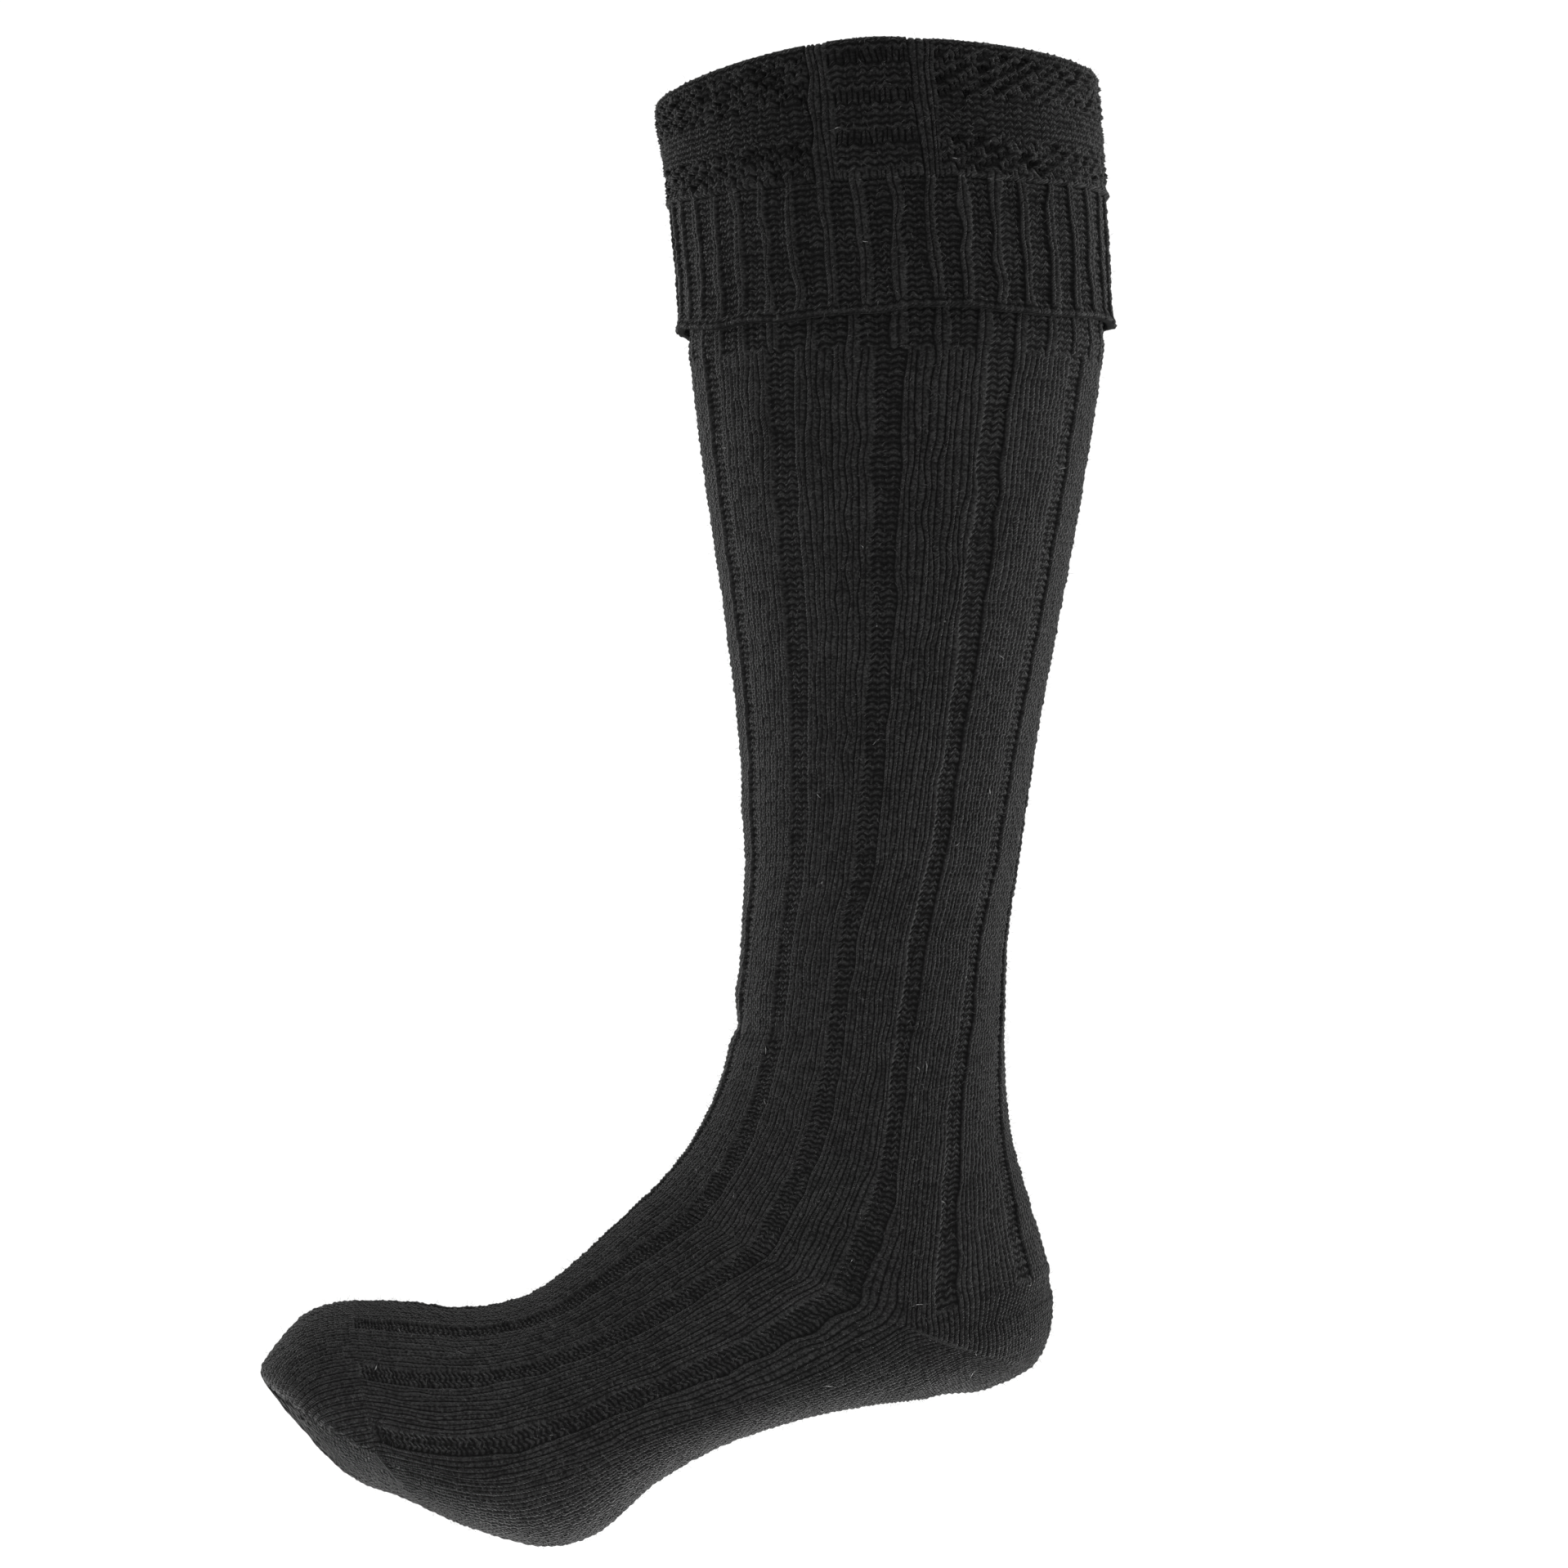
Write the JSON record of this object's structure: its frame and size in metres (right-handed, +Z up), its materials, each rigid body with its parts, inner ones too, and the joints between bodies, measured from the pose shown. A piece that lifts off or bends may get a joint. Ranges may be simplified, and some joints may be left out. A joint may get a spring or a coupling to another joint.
{
  "type": "kilt hose sock",
  "caption": "Knee-high knitted kilt hose in charcoal wool rib, with a turned-down patterned cuff, in the form of the leg it fits.",
  "frame": {"origin": "middle of the leg opening at the height of the rim's side, where the leg enters", "axes": "+Z up out of the leg opening, -X towards the toe, +X towards the heel, -Y and +Y the two sides"},
  "size_m": [0.2801, 0.1316, 0.4829],
  "materials": {
    "wool_knit": "matte worsted wool knit, charcoal black, with a faint halo of fibre"
  },
  "bodies": {
    "root": {"cuff_rib_welt": "wool_knit", "cuff_pattern_band": "wool_knit", "leg_tube": "wool_knit", "heel_pocket": "wool_knit", "foot_tube": "wool_knit", "toe_cap": "wool_knit"}
  },
  "joints": []
}
